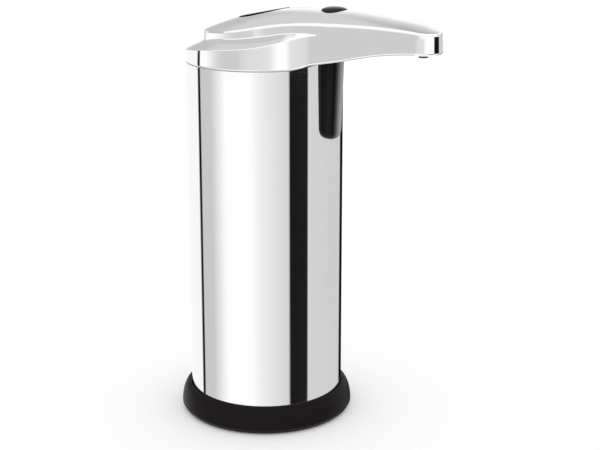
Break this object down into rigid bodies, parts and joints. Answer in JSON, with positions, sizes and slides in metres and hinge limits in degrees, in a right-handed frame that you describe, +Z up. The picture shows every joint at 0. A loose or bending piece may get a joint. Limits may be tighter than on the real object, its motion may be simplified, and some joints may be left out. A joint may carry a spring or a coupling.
{
  "type": "automatic soap dispenser",
  "caption": "Free-standing touch-free soap dispenser: round steel body on a black foot, a beaked chrome head with a sensor window below it, a fill cap and a power button on top.",
  "frame": {"origin": "centre of the bounding box at its base, on the counter; the body's axis is 26.65 mm behind it", "axes": "+Z up along the body, +X the way the spout points, +Y to the left of the spout"},
  "size_m": [0.138, 0.0848, 0.2029],
  "materials": {
    "chrome": "polished, mirror bright",
    "steel": "polished to a mirror",
    "bright_metal": "plain bright metal",
    "black_gloss": "satin black",
    "black_window": "glossy, dark to the eye",
    "black_rubber": "matt",
    "grey_plastic": "fine moulded grain",
    "white_plastic": "smooth moulded",
    "clear_plastic": "translucent",
    "gear_plastic": "smooth moulded",
    "seal_rubber": "matt silicone",
    "tube_silicone": "translucent silicone",
    "cell_jacket": "printed film, plain",
    "board_green": "solder mask",
    "wire_red": "soft jacket"
  },
  "bodies": {
    "housing": {"anti_slip_ring": "black_rubber", "base_foot": "black_gloss", "battery_1": "cell_jacket", "battery_2": "cell_jacket", "battery_3": "cell_jacket", "battery_4": "cell_jacket", "battery_holder": "grey_plastic", "board_screw_1": "bright_metal", "board_screw_2": "bright_metal", "button_switch": "black_gloss", "control_board": "board_green", "head_chassis": "grey_plastic", "head_shell": "chrome", "idler_pin": "bright_metal", "inlet_seal": "black_rubber", "inner_frame": "grey_plastic", "ir_emitter": "black_window", "ir_receiver": "black_window", "motor": "bright_metal", "nozzle": "white_plastic", "nozzle_valve": "black_rubber", "outlet_tube": "tube_silicone", "pump_body": "white_plastic", "pump_cover": "white_plastic", "pump_screw_1": "bright_metal", "pump_screw_2": "bright_metal", "pump_screw_3": "bright_metal", "pump_screw_4": "bright_metal", "roof_bridge": "bright_metal", "roof_spring_1": "bright_metal", "roof_spring_2": "bright_metal", "roof_terminal_1": "bright_metal", "roof_terminal_2": "bright_metal", "sensor_board": "board_green", "sensor_window": "black_window", "shaft_seal": "black_rubber", "soap_tank": "clear_plastic", "steel_sleeve": "steel", "tank_gasket": "seal_rubber", "tank_lid": "white_plastic", "top_cover": "chrome", "wire_loom": "wire_red"},
    "battery_door": {"battery_door": "black_gloss", "door_contact_1": "bright_metal", "door_contact_2": "bright_metal", "door_spring_1": "bright_metal", "door_spring_2": "bright_metal"},
    "cap_seal": {"fill_cap_seal": "black_rubber"},
    "fill_cap": {"fill_cap": "chrome"},
    "power_button": {"power_button": "black_gloss"},
    "pump_drive": {"drive_gear": "gear_plastic", "drive_shaft": "bright_metal"},
    "pump_idler": {"idler_gear": "gear_plastic"}
  },
  "joints": [
    {"name": "fill_cap_lift", "type": "slide", "parent": "housing", "child": "cap_seal", "axis": [-0.2164, 0, 0.9763], "range_m": [0, 0.03]},
    {"name": "fill_cap_twist", "type": "hinge", "parent": "cap_seal", "child": "fill_cap", "pos_m": [-0.02665, 0, 0.19717], "axis": [-0.2164, 0, 0.9763], "range_deg": [0, 90]},
    {"name": "power_button_press", "type": "slide", "parent": "housing", "child": "power_button", "axis": [0, 0, -1], "range_m": [0, 0.0008], "stiffness_N_per_m": 800, "springref_m": -0.001},
    {"name": "pump_drive_spin", "type": "hinge", "parent": "housing", "child": "pump_drive", "pos_m": [-0.02665, 0, 0.086], "axis": [0, 0, 1], "continuous": true},
    {"name": "pump_idler_spin", "type": "hinge", "parent": "housing", "child": "pump_idler", "pos_m": [-0.03514, 0.00849, 0.086], "axis": [0, 0, 1], "continuous": true},
    {"name": "battery_door_twist", "type": "hinge", "parent": "housing", "child": "battery_door", "pos_m": [-0.02665, 0, 0.004], "axis": [0, 0, 1], "range_deg": [0, 45]}
  ],
  "couplings": [
    {"joint": "pump_idler_spin", "follows": "pump_drive_spin", "ratio": -1}
  ]
}
